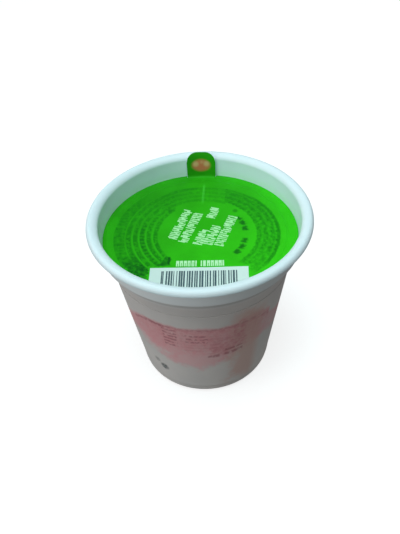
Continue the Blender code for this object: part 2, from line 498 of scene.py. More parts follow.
def film_relief(x, y):
    """Height of the film above its edge: the dished middle, the weld, the crease and slack waves."""
    radius = hypot(x, y)
    dish = -FILM_DISH * max(0.0, 1.0 - (radius / WELD_INNER_RADIUS) ** 2)
    into_weld = ease(radius, WELD_INNER_RADIUS - WELD_SLOPE, WELD_INNER_RADIUS)
    out_of_weld = ease(radius, WELD_OUTER_RADIUS, WELD_OUTER_RADIUS + WELD_SLOPE)
    weld = -WELD_SINK * into_weld * (1.0 - out_of_weld)
    along = ease(y, CREASE_START_RADIUS, CREASE_START_RADIUS + CREASE_RISE)
    side = x - CREASE_SLANT * y
    crease = CREASE_HEIGHT * along * (1.0 - into_weld) * exp(-(side / CREASE_WIDTH) ** 2)
    slack = 1.0 - ease(radius, WELD_INNER_RADIUS - WAVE_FADE, WELD_INNER_RADIUS)
    wave = WAVE_HEIGHT * slack * noise.noise(Vector((x, y, 0.0)) / WAVE_LENGTH)
    return dish + weld + crease + wave


def tab_length():
    """Length of the tab, so that its end is as high as the frame's."""
    upright = pi / 2 - TAB_LEAN
    fold_height = TAB_FOLD_RADIUS * (1.0 - cos(upright))
    rise = TAB_TOP - (HEIGHT - FILM_DEPTH) - fold_height
    return TAB_FOLD_RADIUS * upright + rise / cos(TAB_LEAN) - TAB_END_TRIM


def tab_path(distance, across):
    """Radius and height of the tab at a distance along it from where it leaves the flat film."""
    upright = pi / 2 - TAB_LEAN
    fold = TAB_FOLD_RADIUS * upright
    turned = min(distance, fold) / TAB_FOLD_RADIUS
    radius = TAB_FOLD_START_RADIUS + TAB_FOLD_RADIUS * sin(turned)
    height = HEIGHT - FILM_DEPTH + TAB_FOLD_RADIUS * (1.0 - cos(turned))
    straight = max(0.0, distance - fold)
    curled = max(0.0, straight - TAB_CURL_START)
    curl_length = tab_length() - fold - TAB_CURL_START
    lean_out = straight * sin(TAB_LEAN) + curled ** 2 / curl_length * tan(TAB_CURL) / 2
    twist = -TAB_TWIST * (across / TAB_WIDTH + 0.5) * (straight / tab_length()) ** 2
    return radius + lean_out + twist, height + straight * cos(TAB_LEAN)


def tab_reach(across):
    """Length of the tab at a distance from its centre line, less where its end corners are rounded."""
    past = max(0.0, abs(across) - (TAB_WIDTH / 2 - TAB_CORNER))
    return tab_length() - TAB_CORNER + sqrt(max(0.0, TAB_CORNER ** 2 - past ** 2))


def film_map(x, y):
    """Place on the film's flat map of a point given in metres on the film laid flat."""
    return (0.5 + x / MM / MAP_SPAN, (MAP_CENTRE + y / MM) / MAP_SPAN)


def film_radii():
    """Radii of the film's rings, closest where the welded ring slopes; the last is the edge."""
    inside = spread(0.0, WELD_INNER_RADIUS - 2 * WELD_SLOPE, DISC_STEPS)[1:]
    into_weld = spread(WELD_INNER_RADIUS - WELD_SLOPE, WELD_INNER_RADIUS, WELD_STEPS)
    out_of_weld = spread(WELD_OUTER_RADIUS, WELD_OUTER_RADIUS + WELD_SLOPE, WELD_STEPS)
    return inside + into_weld + out_of_weld + [FILM_RADIUS]


def drawn_in(radius):
    """A ring's radius across the tab, where the flat part ends at the fold instead of at the edge."""
    share = max(0.0, radius - WELD_INNER_RADIUS) / (FILM_RADIUS - WELD_INNER_RADIUS)
    return radius - share * (FILM_RADIUS - TAB_FOLD_START_RADIUS)


def add_disc_rows(skin, bearings):
    """The film's flat part, from the centre out. Returns its edge and the edge's flat map."""
    edge_height = HEIGHT - FILM_DEPTH
    above = skin.row([(0.0, 0.0, edge_height + film_relief(0.0, 0.0))])
    flat_above = [film_map(0.0, 0.0)] * (len(bearings) + 1)
    for radius in film_radii():
        places = []
        for i, bearing in enumerate(bearings):
            reach = drawn_in(radius) if i <= TAB_COLUMNS else radius
            x, y, height = polar(reach, bearing, edge_height)
            places.append((x, y, height + film_relief(x, y)))
        ring = skin.row(places)
        below = ring + ring[:1]
        flat_below = [film_map(x, y) for x, y, _ in places + places[:1]]
        skin.strip(below, above, flat_below, flat_above)
        above, flat_above = below, flat_below
    return above, flat_above


def add_tab_rows(skin, bearings, above, flat_above):
    """The pull tab's rows of faces, from the film's edge up to the rounded end."""
    for row in range(1, TAB_ROWS + 1):
        places = []
        flat_below = []
        for i, share in enumerate(spread(-0.5, 0.5, TAB_COLUMNS)):
            across = TAB_WIDTH * share
            distance = tab_reach(across) * row / TAB_ROWS
            radius, height = tab_path(distance, across)
            places.append(polar(radius, bearings[i], height))
            flat_below.append(film_map(across, TAB_FOLD_START_RADIUS + distance))
        below = skin.row(places)
        skin.strip(below, above, flat_below, flat_above)
        above, flat_above = below, flat_below


def thickened(sheet, back_index):
    """The mesh of a sheet made FILM_THICKNESS thick, with the finish at back_index on all but its face."""
    thicken = sheet.modifiers.new("Film thickness", "SOLIDIFY")
    thicken.thickness = FILM_THICKNESS
    thicken.offset = -1.0
    thicken.material_offset = back_index
    thicken.material_offset_rim = back_index
    view = bpy.context.evaluated_depsgraph_get()
    mesh = bpy.data.meshes.new_from_object(sheet.evaluated_get(view))
    bpy.data.objects.remove(sheet)
    return mesh


def add_film(front, back):
    """The film's printed face as one sheet with its tab, thickened away from the print.

    The front finishes are in the order of PRINT_PARTS.
    """
    skin = Skin()
    half = asin(TAB_WIDTH / 2 / FILM_RADIUS)
    root = half + TAB_ROOT_ANGLE
    around = TURN_STEPS - TAB_COLUMNS // 4
    bearings = spread(-half, half, TAB_COLUMNS) + spread(root, 2 * pi - root, around)
    edge, flat_edge = add_disc_rows(skin, bearings)
    add_tab_rows(skin, bearings, edge[:TAB_COLUMNS + 1], flat_edge[:TAB_COLUMNS + 1])
    sheet = bpy.data.objects.new("film_sheet", skin.mesh("film_sheet"))
    bpy.context.scene.collection.objects.link(sheet)
    for finish in (*front, back):
        sheet.data.materials.append(finish)
    for face, flat in zip(sheet.data.polygons, skin.flat):
        u = sum(place[0] for place in flat) / len(flat)
        v = sum(place[1] for place in flat) / len(flat)
        part = print_part((u - 0.5) * MAP_SPAN, v * MAP_SPAN - MAP_CENTRE)
        face.material_index = PRINT_PARTS.index(part)
    mesh = thickened(sheet, len(front))

    # The unprinted side takes a small corner of the flat map that the print leaves free.
    flat_map = mesh.uv_layers[FLAT_MAP].data
    for face in mesh.polygons:
        if face.material_index == len(front):
            for corner in face.loop_indices:
                u, v = flat_map[corner].uv
                flat_map[corner].uv = (
                    BACK_MAP_CORNER[0] + BACK_MAP_SCALE * u,
                    BACK_MAP_CORNER[1] + BACK_MAP_SCALE * v,
                )
    film = add_piece("seal_film", mesh, FILM_SLOT)
    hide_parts("seal")


# Dotted ink marks in the middle of the film, in millimetres
MARK_DIRECTION = radians(71.5)
MARK_DOT_RADIUS = 0.32
MARK_DOT_PITCH = 0.44
MARK_ROW_PITCH = 0.50
MARK_DOT_HEIGHT = 0.025
MARK_DOT_LIFT = 0.012
MARK_ROWS_HIGH = 7
MARK_COLUMNS_WIDE = 4
MARK_STEP = 2.18
MARK_SIDES = 8
MARK_DOT_SPREAD = (0.85, 1.1)
MARK_LONG_RUN = (5, MARK_ROWS_HIGH)
MARK_SHORT_RUN = (2, 5)
MARK_SEED = 11
# Each line of marks: how far its middle lies across from the centre, where it starts, and its marks
MARK_LINES = (
    (-8.35, -6.2, 8),
    (-4.1, -6.9, 8),
    (1.3, -6.5, 4),
    (1.0, 8.9, 3),
    (4.8, -5.4, 5),
    (8.75, -4.9, 8),
)


def mark_dots(draw):
    """Places of the ink dots on the film, in millimetres. A mark's outer columns have the long runs."""
    along = Vector((cos(MARK_DIRECTION), sin(MARK_DIRECTION), 0.0))
    across = Vector((sin(MARK_DIRECTION), -cos(MARK_DIRECTION), 0.0))
    dots = []
    for middle, start, count in MARK_LINES:
        for mark in range(count):
            for column in range(MARK_COLUMNS_WIDE):
                outer = column in (0, MARK_COLUMNS_WIDE - 1)
                run = draw.randint(*MARK_LONG_RUN) if outer else draw.randint(*MARK_SHORT_RUN)
                first = draw.choice((0, MARK_ROWS_HIGH - run, (MARK_ROWS_HIGH - run) // 2))
                for level in range(first, first + run):
                    reach = start + mark * MARK_STEP + column * MARK_DOT_PITCH
                    side = middle + ((MARK_ROWS_HIGH - 1) / 2 - level) * MARK_ROW_PITCH
                    dots.append(along * reach + across * side)
    return dots


def add_marks(finish):
    """Lines of dotted ink marks on the film, which follow no alphabet."""
    skin = Skin()
    draw = random.Random(MARK_SEED)
    base = HEIGHT - FILM_DEPTH + MARK_DOT_LIFT * MM
    angles = [-2 * pi * i / MARK_SIDES for i in range(MARK_SIDES)]
    flat = [(0.5, 0.5)] * (MARK_SIDES + 1)
    for dot in mark_dots(draw):
        radius = MARK_DOT_RADIUS * draw.uniform(*MARK_DOT_SPREAD)
        rim = [dot + Vector((cos(angle), sin(angle), 0.0)) * radius for angle in angles]
        ground = base + film_relief(dot.x * MM, dot.y * MM)
        sunk = ground - MARK_DOT_LIFT * 2 * MM
        low = skin.row([(p.x * MM, p.y * MM, sunk) for p in rim])
        high = skin.row([(p.x * MM, p.y * MM, ground) for p in rim])
        top = skin.row([(dot.x * MM, dot.y * MM, ground + MARK_DOT_HEIGHT / 2 * MM)])
        foot = skin.row([(dot.x * MM, dot.y * MM, sunk)])
        high_ring, low_ring = high + high[:1], low + low[:1]
        skin.strip(top, high_ring, flat, flat)
        skin.strip(high_ring, low_ring, flat, flat)
        skin.strip(low_ring, foot, flat, flat)
    add_piece("ink_marks", skin.mesh("ink_marks"), FILM_SLOT, finish)


# Specks of small print: a random shift of each row in millimetres, and the specks' shape within a row
SPECK_SHIFT = 60
SPECK_SQUEEZE = 0.8
SPECK_ROW_STEP = 5.0
SPECK_ROUGHNESS = 0.7
SPECK_ROW = (0.06, 0.92, 0.24)
SPECK_EDGE = (-0.05, 0.09)


def small_print(finish, along, across, pitch, seed, fineness=0.75, gaps=0.44):
    """Rows of specks, unreadable as small print is from a step away. Lengths are in millimetres."""
    level = across / pitch
    row = level.floor()
    start = along + finish.random(row, seed) * SPECK_SHIFT
    place = finish.point(start, across * SPECK_SQUEEZE, row * SPECK_ROW_STEP)
    specks = finish.cloud(place, fineness, 2.0, SPECK_ROUGHNESS)
    return level.fraction().within(*SPECK_ROW) * specks.rise(gaps + SPECK_EDGE[0], gaps + SPECK_EDGE[1])


def blotches(finish, x, y, scale):
    """Uneven ink, about 0."""
    return finish.cloud(finish.point(x, y), scale, 3.0) - 0.5


def block(x, y, left, right, bottom, top, soft):
    return x.within(left, right, soft) * y.within(bottom, top, soft)


def disc(x, y, centre, radius, soft):
    away = ((x - centre[0]) * (x - centre[0]) + (y - centre[1]) * (y - centre[1])).root()
    return away.fall(radius - soft, radius)


# Colours as linear red, green and blue
GREEN = (0.034, 0.540, 0.008, 1.0)
GREEN_DEEP = (0.016, 0.255, 0.005, 1.0)
# Green of the painted highlight along the film's crease
GREEN_HIGHLIGHT = (0.070, 0.580, 0.050, 1.0)
GREEN_INK = (0.004, 0.165, 0.005, 1.0)
BOLD_INK = (0.003, 0.105, 0.007, 1.0)
PANEL_WHITE = (0.63, 0.74, 0.69, 1.0)
BAR_SLATE = (0.050, 0.085, 0.105, 1.0)
MARK_WHITE = (0.42, 0.80, 0.40, 1.0)
STROKE_WHITE = (0.50, 0.82, 0.48, 1.0)
TAB_CREAM = (0.62, 0.46, 0.22, 1.0)
TAB_RED = (0.66, 0.16, 0.10, 1.0)
MARK_GREEN = (0.32, 0.70, 0.30, 1.0)
FILM_BACK = (0.72, 0.74, 0.74, 1.0)
FILM_BACK_LIGHT = (0.80, 0.82, 0.82, 1.0)
PLASTIC = (0.71, 0.80, 0.83, 1.0)
# A brighter copy of the plastic, as painted light on the inner wall
PLASTIC_INSIDE_LIT = (0.69, 0.86, 0.91, 1.0)
# The film's green, as a painted reflection on the inner wall just above it
PLASTIC_GREEN_REFLECTION = (0.44, 0.76, 0.50, 1.0)
# A brighter copy of the plastic, as painted light on the collar under the lip
COLLAR_LIT_WHITE = (0.76, 0.84, 0.86, 1.0)
# Grey of the painted shadow in the groove below the collar
GROOVE_SHADOW_GREY = (0.34, 0.34, 0.33, 1.0)
PAPER = (0.70, 0.688, 0.668, 1.0)
PAPER_GREY = (0.62, 0.625, 0.615, 1.0)
ROSE = (0.76, 0.380, 0.410, 1.0)
ROSE_PALE = (0.74, 0.53, 0.54, 1.0)
ROSE_DEEP = (0.58, 0.24, 0.27, 1.0)
ROSE_GREY = (0.66, 0.455, 0.405, 1.0)
ROSE_INK = (0.36, 0.11, 0.13, 1.0)
GREY_INK = (0.16, 0.18, 0.18, 1.0)
FLOOR_DARK = (0.34, 0.34, 0.34, 1.0)
FLOOR_LIGHT = (0.37, 0.37, 0.37, 1.0)
ROOM_DARK = (0.0, 0.0, 0.0, 1.0)
ROOM_LIGHT = (1.0, 0.985, 0.965, 1.0)
BACKDROP = (0.88, 0.88, 0.88, 1.0)

# In the prints, a factor on a mask is how strong its ink is, and one on a cloud is how far it moves an edge.
# A pair is where an edge starts and ends, and three numbers are a band's two edges and their softness.

# The film's green: how mottled it is, how painted light lightens it to the right and to the front, leaving
# its left and back in painted shade, and its middle
GREEN_MOTTLE = 0.24
PAINTED_LIGHT_TO_RIGHT = 0.009
PAINTED_LIGHT_TO_FRONT = 0.008
GREEN_SHARE = 0.41

# Ring print, in millimetres from its own middle, and in radians up from its left or its right
PRINT_CENTRE = (0.2, -1.0)
ROW_PITCH = 2.42

# Its left part. A field is its inner and outer radius, its lower and upper angle, and how soft it is.
LEFT_ROWS_START = 16.2
LEFT_ROWS = 5
LEFT_ROW_LENGTH = 22.0
LEFT_SEED = 7.0
LEFT_BLOTS = 0.7
LEFT_JOG = (-15.0, -9.4)
LEFT_ROWS_FOOT = (-0.98, -0.93)
LEFT_GAPS = (17.5, 26.8, -0.96, 0.35, 0.45)
LEFT_BORDER = (28.2, 32.6, -1.0, 1.0, 0.5)
LEFT_CORNER = (25.8, 31.6, -1.05, -0.36, 0.3)
LEFT_DOTS_A_RADIAN = 11.5
LEFT_DOT_RING = (20.9, 23.3, 0.8)
LEFT_DOT_ARC = (-1.0, 0.28, 0.1)

# Dark shapes at its lower and upper end: places on the film, and for a spot its radius and softness
WEDGE_LEFT = 11.6
WEDGE_TOP = -13.0
WEDGE_BOTTOM = -18.0
WEDGE_SLANT = 0.42
DARK_STROKE_LEFT = 10.5
DARK_STROKE_HEIGHT = (-17.6, -12.9, 0.7)
LEFT_SPOT = ((-12.7, -17.0), 1.2, 0.8)
LEFT_HIGH_SPOT = ((-11.4, 12.6), 1.3, 0.8)

# Its right part, with the line outside the rows and the heavy marks inside them
RIGHT_ROWS_START = 19.8
RIGHT_ROWS = 3.6
RIGHT_ROW_LENGTH = 24.0
RIGHT_SEED = 3.0
RIGHT_BLOTS = 0.8
RIGHT_ROWS_FOOT = (-0.90, -0.78)
RIGHT_LINE = (26.9, 28.9, 0.6)
RIGHT_LINE_ARC = (-0.80, 0.95, 0.25)
RIGHT_HIGH_SPOT = ((12.9, 11.8), 1.4, 0.9)
HEAVY_START = 0.055
HEAVY_A_RADIAN = 4.91
HEAVY_RING = (14.9, 17.7, 1.1)
HEAVY_HIGH_ARC = (0.05, 0.62, 0.05)
HEAVY_LOW_ARC = (-0.77, -0.14, 0.05)

# Its part towards the pull tab. The dark rows are a field from left to right and from bottom to top.
MIDDLE_ROWS_FOOT = (9.0, 15.0)
MIDDLE_DARK_ROWS = (-9.4, -0.8, 25.2, 28.2, 0.8)
# Bottom, top and softness of the painted highlight along the crease
CREASE_HIGHLIGHT = (16.0, 29.5, 3.0)

# Pale strokes above the panel
PALE_STROKES_LEFT = 7.9
PALE_STROKES_TOP = -15.2
PALE_STROKES_BOTTOM = -18.3
PALE_STROKE_PITCH = 1.32
PALE_STROKES_SEED = 5.0
FIRST_PALE_RUN = (-8.0, -0.8, 0.05)
SECOND_PALE_RUN = (0.5, 8.5, 0.05)
SLIT_WIDTH = (0.26, 0.52, 0.08)
SLIT_HEIGHT = (-17.6, -15.4, 0.3)
SLIT_SHARE = 0.3

# The panel and its bars. A bar's width and place are shares of its cell, and cells count from the left.
PANEL_HALF_WIDTH = 16.7
PANEL_TOP = -18.7
PANEL_EDGE = 0.12
BARS_HALF_WIDTH = 13.05
BARS_TOP = -20.4
BARS_BOTTOM = -28.4
GUARD_BOTTOM = -29.6
BAR_PITCH = 0.87
BAR_LEAST_WIDTH = 0.30
BAR_WIDTH_SPREAD = 0.56
BAR_ROOM = 0.97
BAR_EDGE = 0.03
BAR_WIDTH_SEED = 2.0
BAR_PLACE_SEED = 4.0
MIDDLE_BAR = 14.5
OUTER_BARS = 13.6

# The tab's mark
TAB_MARK_HEIGHT = 39.1
TAB_MARK_WIDE = 0.36
TAB_MARK_TALL = 0.83
TAB_MARK_EDGE = (1.5, 2.7)
TAB_LEFT_SPOT = ((-2.1, 39.7), 1.75, 1.3)
TAB_RIGHT_SPOT = ((2.1, 39.7), 1.75, 1.3)
TAB_HIGH_SPOT = ((0.3, 40.4), 1.2, 1.2)

# Parts of the film's print, each a finish of its own, and where they meet
PRINT_PARTS = ("left", "right", "middle", "panel", "tab")
TAB_PART_FOOT = 35.0
PANEL_PART_TOP = -18.0
PANEL_PART_HALF_WIDTH = 17.4
STROKES_PART_TOP = -14.5
MIDDLE_HALF_WIDTH = 9.4


def ring_place(finish, x, y, side):
    """Distance from the middle of the ring print, and the angle up from its left (-1) or its right (1)."""
    across = (x - PRINT_CENTRE[0]) * side
    up = y - PRINT_CENTRE[1]
    return (across * across + up * up).root(), finish.math("ARCTAN2", up, across)


def print_left(finish, x, y, colour):
    """Five rows of small print with soft light lines between them, a blotched border and a dark wedge."""
    radius, angle = ring_place(finish, x - x.fall(*LEFT_JOG), y, -1)
    across = radius - LEFT_ROWS_START
    rows_end = LEFT_ROWS_START + LEFT_ROWS * ROW_PITCH
    blot = blotches(finish, x, y, LEFT_BLOTS)
    rows = small_print(finish, angle * LEFT_ROW_LENGTH, across, ROW_PITCH, LEFT_SEED)
    zone = (radius + blot * 0.6).within(LEFT_ROWS_START, rows_end, 0.4) * angle.rise(*LEFT_ROWS_FOOT)
    ink = (rows * 0.60 + blot * 1.1 + 0.30) * zone * (angle.fall(-0.25, 0.55) * 0.15 + 0.66)
    gap = abs((across / ROW_PITCH + 0.5).fraction() - 0.42).fall(0.02, 0.22) * (blot * 1.4 + 0.75)
    gap = gap * block(radius, angle, *LEFT_GAPS)
    border = block(radius, angle, *LEFT_BORDER) * (blot * 1.9 + 0.46)
    corner = block(radius, angle, *LEFT_CORNER) * (blot * 2.4 + 0.72)
    dots = (angle * LEFT_DOTS_A_RADIAN).fraction().within(0.05, 0.85, 0.35)
    dots = dots * (radius + blot).within(*LEFT_DOT_RING) * angle.within(*LEFT_DOT_ARC) * 0.5
    wedge = (abs(x + WEDGE_LEFT + blot * 2.0) + (y - WEDGE_TOP) * WEDGE_SLANT).fall(-0.3, 0.4)
    wedge = wedge * y.within(WEDGE_BOTTOM, WEDGE_TOP, 0.5) * 0.55
    stroke = abs(x + DARK_STROKE_LEFT + blot).fall(0.25, 0.75) * y.within(*DARK_STROKE_HEIGHT)
    bold = corner.either(wedge).either(stroke).either(disc(x, y, *LEFT_SPOT) * 0.9).either(dots)
    bold = bold.either(disc(x, y, *LEFT_HIGH_SPOT) * 0.5)
    colour = finish.colour(ink.either(border), colour, GREEN_INK)
    colour = finish.colour(gap * 0.5, colour, GREEN)
    return finish.colour(bold.both(1.0), colour, BOLD_INK), ink


def print_right(finish, x, y, colour):
    """A blotched tint with three blurred rows in it, a dark line outside them and soft heavy marks inside."""
    radius, angle = ring_place(finish, x, y, 1)
    rows_end = RIGHT_ROWS_START + RIGHT_ROWS * ROW_PITCH
    blot = blotches(finish, x, y, RIGHT_BLOTS)
    rows = small_print(finish, angle * RIGHT_ROW_LENGTH, radius - RIGHT_ROWS_START, ROW_PITCH, RIGHT_SEED)
    zone = (radius + blot).within(RIGHT_ROWS_START, rows_end, 0.7) * angle.rise(*RIGHT_ROWS_FOOT)
    ink = (rows * 0.36 + blot * 1.3 + 0.42) * zone * (angle.rise(-0.8, 0.1) * 0.20 + 0.66)
    line = (radius + blot * 1.4).within(*RIGHT_LINE) * angle.within(*RIGHT_LINE_ARC) * (blot + 0.72)
    heavy = ((angle - HEAVY_START) * HEAVY_A_RADIAN + blot * 0.5).fraction().within(-0.12, 1.04, 0.36)
    heavy = heavy * (radius + blot * 3.0).within(*HEAVY_RING)
    heavy = heavy * (angle.within(*HEAVY_HIGH_ARC) + angle.within(*HEAVY_LOW_ARC))
    bold = (heavy * 0.85).either(disc(x, y, *RIGHT_HIGH_SPOT) * 0.5)
    colour = finish.colour(ink.either(line), colour, GREEN_INK)
    return finish.colour(bold, colour, BOLD_INK), ink


def print_middle(finish, x, y, colour):
    """Tinted rows on towards the pull tab, darker ones right by it, and a painted highlight along the crease.
    """
    radius, angle = ring_place(finish, x, y, 1)
    rows_start = LEFT_ROWS_START + ROW_PITCH
    rows_end = LEFT_ROWS_START + LEFT_ROWS * ROW_PITCH
    blot = blotches(finish, x, y, LEFT_BLOTS)
    across = radius - LEFT_ROWS_START
    rows = small_print(finish, angle * LEFT_ROW_LENGTH, across, ROW_PITCH, LEFT_SEED, 0.75, 0.42)
    near = block(x + blot * 2.0, y + blot, *MIDDLE_DARK_ROWS)
    zone = (radius + blot).within(rows_start, rows_end, 0.4) * y.rise(*MIDDLE_ROWS_FOOT)
    ink = (rows * 0.45 + blot * 0.8 + 0.20) * zone * (near * 0.35 + x.fall(-4.0, 6.0) * 0.10 + 0.52)
    colour = finish.colour(ink, colour, GREEN_INK)
    # A painted highlight along the film's crease, where light catches its ridge
    crease = abs(x - y * CREASE_SLANT).fall(0.15, 0.7) * y.within(*CREASE_HIGHLIGHT)
    return finish.colour(crease * 0.4, colour, GREEN_HIGHLIGHT), ink


def print_panel(finish, x, y, colour):
    """Two runs of pale strokes, and below them the pale panel with its bars."""
    stroke_place = (x + PALE_STROKES_LEFT) / PALE_STROKE_PITCH
    stroke = finish.random(stroke_place.floor(), PALE_STROKES_SEED)
    inside = stroke_place.fraction()
    strokes = (stroke * 0.18 + 0.70 - inside).rise(-0.04, 0.08)
    strokes = strokes * y.within(PALE_STROKES_BOTTOM, PALE_STROKES_TOP, 0.25)
    slit = inside.within(*SLIT_WIDTH) * (y + stroke * 1.6).within(*SLIT_HEIGHT)
    strokes = strokes * (1 - slit * (stroke > SLIT_SHARE) * 0.85)
    strokes = strokes * (x.within(*FIRST_PALE_RUN) + x.within(*SECOND_PALE_RUN))
    colour = finish.colour(strokes * 0.95, colour, STROKE_WHITE)

    panel = abs(x).fall(PANEL_HALF_WIDTH - PANEL_EDGE, PANEL_HALF_WIDTH)
    panel = panel * y.fall(PANEL_TOP - PANEL_EDGE, PANEL_TOP)
    colour = finish.colour(panel, colour, PANEL_WHITE)

    bar_place = (x + BARS_HALF_WIDTH) / BAR_PITCH
    cell = bar_place.floor()
    width = finish.random(cell, BAR_WIDTH_SEED) * BAR_WIDTH_SPREAD + BAR_LEAST_WIDTH
    reach = bar_place.fraction() - (BAR_ROOM - width) * finish.random(cell, BAR_PLACE_SEED)
    bars = reach.rise(-BAR_EDGE, BAR_EDGE) * (reach - width).fall(-BAR_EDGE, BAR_EDGE)
    from_middle = abs(cell - MIDDLE_BAR)
    longer = (from_middle > OUTER_BARS).either(from_middle.fall(0.7, 0.9))
    foot = BARS_BOTTOM - longer * (BARS_BOTTOM - GUARD_BOTTOM)
    bars = bars * (y - foot).rise(0.0, 0.1) * y.fall(BARS_TOP - 0.1, BARS_TOP)
    bars = bars * abs(x).fall(BARS_HALF_WIDTH - 0.05, BARS_HALF_WIDTH)
    return finish.colour(bars * 0.96, colour, BAR_SLATE), bars


def print_tab(finish, x, y, colour):
    """A small blurred mark: a red oval with two pale spots on it."""
    up = (y - TAB_MARK_HEIGHT) * TAB_MARK_TALL
    halo = ((x * x) * TAB_MARK_WIDE + up * up).root().fall(*TAB_MARK_EDGE)
    colour = finish.colour(halo * 0.85, colour, TAB_RED)
    cream = disc(x, y, *TAB_LEFT_SPOT).either(disc(x, y, *TAB_RIGHT_SPOT))
    cream = cream.either(disc(x, y, *TAB_HIGH_SPOT) * 0.6)
    return finish.colour(cream * 0.8, colour, TAB_CREAM), halo


def film_print(name, draw):
    """A finish of part of the film: the same mottled green all over, in painted shade towards its left and
    back, and on it what draw prints there.
    """
    finish = Finish(bpy.data.materials.new(name), "Principled BSDF")
    u, v, _ = finish.parts(finish.node("ShaderNodeUVMap", {"uv_map": FLAT_MAP}))
    x = (u - 0.5) * MAP_SPAN
    y = v * MAP_SPAN - MAP_CENTRE
    place = finish.point(x, y)
    mottle = finish.cloud(place, 0.07, 3.0)
    grain = finish.cloud(place, 1.6, 2.0)
    wrinkle = finish.cloud(place, 0.16, 3.0, 0.55)
    # The green's lightness: random mottle, plus painted light that grows to the right and to the front, so
    # the left, the back and the tab lie in painted shade
    mottle_and_painted_light = mottle.rise(0.32, 0.68) * GREEN_MOTTLE + x * PAINTED_LIGHT_TO_RIGHT - y * PAINTED_LIGHT_TO_FRONT + GREEN_SHARE
    ground = finish.colour(mottle_and_painted_light.both(1.0).either(0.0), GREEN_DEEP, GREEN)
    colour, ink = draw(finish, x, y, ground)
    finish.shade(
        Base_Color=colour,
        Roughness=0.42 + grain * 0.12 + ink * 0.08,
        Specular_IOR_Level=0.06,
        Normal=finish.relief(wrinkle * 1.6 + grain * 0.08 + ink * 0.04, 0.12 * MM),
    )
    return finish.owner


def print_part(x, y):
    """Which part of the film's print a place on the flat film lies in."""
    if y > TAB_PART_FOOT:
        return "tab"
    if y < PANEL_PART_TOP and abs(x) < PANEL_PART_HALF_WIDTH:
        return "panel"
    if y < STROKES_PART_TOP and abs(x) < MIDDLE_HALF_WIDTH:
        return "panel"
    if abs(x) <= MIDDLE_HALF_WIDTH:
        return "middle"
    return "left" if x < 0.0 else "right"


def film_underside():
    """The unprinted side of the film, which shows on the back of the tab."""
    finish = Finish(bpy.data.materials.new("film underside"), "Principled BSDF")
    grain = finish.cloud(finish.place(), 0.9, 3.0)
    finish.shade(
        Base_Color=finish.colour(grain, FILM_BACK, FILM_BACK_LIGHT),
        Roughness=0.34 + grain * 0.12,
        Metallic=0.35,
        Normal=finish.relief(grain, 0.03 * MM),
    )
    return finish.owner


def white_ink():
    finish = Finish(bpy.data.materials.new("white ink"), "Principled BSDF")
    grain = finish.cloud(finish.place(), 4.0, 2.0)
    finish.shade(
        Base_Color=finish.colour(grain.rise(0.3, 0.7), MARK_GREEN, MARK_WHITE),
        Roughness=0.55 + grain * 0.1,
    )
    return finish.owner


# Noise on the plastic, for each millimetre: how fine its wide clouds and its grain are
CLOUD_SCALE = 0.05
GRAIN_SCALE = 2.4

# The plastic's tints and its painted light, reflection and shadow, as radii and heights in millimetres at
# which one turns into the next
OUTSIDE_RADIUS = (36.3, 36.5)
BELOW_COLLAR = (61.3, 61.5)
# Heights over which the painted reflection of the film's green fades up the inner wall
GREEN_REFLECTION_HEIGHTS = (61.8, 66.5)
BELOW_LIP = (68.8, 70.4)
# Heights below which the collar takes its painted light
COLLAR_PAINTED_LIGHT = (67.2, 69.4)
COAT_EDGE = (57.0, 62.5)
# Heights and softness of the painted shadow in the groove below the collar
GROOVE_SHADE = (58.4, 62.4, 1.5)


def coating(finish, cloudy):
    """The off-white of the coated body, a little uneven."""
    return finish.colour(cloudy.rise(0.3, 0.7), PAPER_GREY, PAPER)


def cup_plastic():
    """White moulded plastic with a fine skin: cool inside and on the lip, and warmer on the coated body. The
    inner wall and the collar are brighter copies of it as painted light, with the film's green painted on
    above the film as a reflection and painted shadow in the groove.
    """
    finish = Finish(bpy.data.materials.new("moulded plastic"), "Principled BSDF")
    place = finish.place()
    x, y, z = finish.parts(place)
    cloudy = finish.cloud(place, CLOUD_SCALE, 3.0)
    grain = finish.cloud(place, GRAIN_SCALE, 3.0)
    radius = (x * x + y * y).root()
    outside = radius.rise(*OUTSIDE_RADIUS).either(z.fall(*BELOW_COLLAR))
    # Painted reflection: the film's green painted onto the inner wall just above the film
    inner = finish.colour(z.fall(*GREEN_REFLECTION_HEIGHTS) * 0.4, PLASTIC_INSIDE_LIT, PLASTIC_GREEN_REFLECTION)
    # Painted light: the inner wall is a brighter copy of the lip's plastic
    inner = finish.colour(z.fall(*BELOW_LIP), PLASTIC, inner)
    # Painted light: the collar is a brighter copy of the same plastic
    shell = finish.colour(z.fall(*COLLAR_PAINTED_LIGHT), inner, COLLAR_LIT_WHITE)
    shell = finish.colour(z.fall(*COAT_EDGE), shell, coating(finish, cloudy))
    # Painted shadow in the groove under the collar's step
    shell = finish.colour(z.within(*GROOVE_SHADE) * 0.5, shell, GROOVE_SHADOW_GREY)
    finish.shade(
        Base_Color=finish.colour(outside, inner, shell),
        Roughness=0.46 + grain * 0.10 + cloudy * 0.06,
        Specular_IOR_Level=0.22,
        Subsurface_Weight=0.15,
        Subsurface_Radius=(0.0030, 0.0034, 0.0036),
        Normal=finish.relief(grain * 0.4 + cloudy * 3.0, 0.05 * MM),
    )
    return finish.owner


# Side print, in millimetres: along the wall from the front middle, and above the foot
SIDE_RADIUS = 29.0
RAGGED_REACH = 16.0
FINE_REACH = 5.0
HANG_START = (17.0, 36.0)
HANG_END = (46.0, 72.0)
HANG_DROP = 8.0

# The rose band
BAND_TOP = (43.8, 46.2)
BAND_FOOT = 19.5
BAND_SLOPE = 0.62
BAND_SLOPE_WIDTH = 15.0
BAND_FLAT_WIDTH = 4.0
BAND_DEEPEST_LEFT = 3.0
BAND_SOFT = 4.6
BAND_LIGHTER = (18.0, 36.0, 6.0)

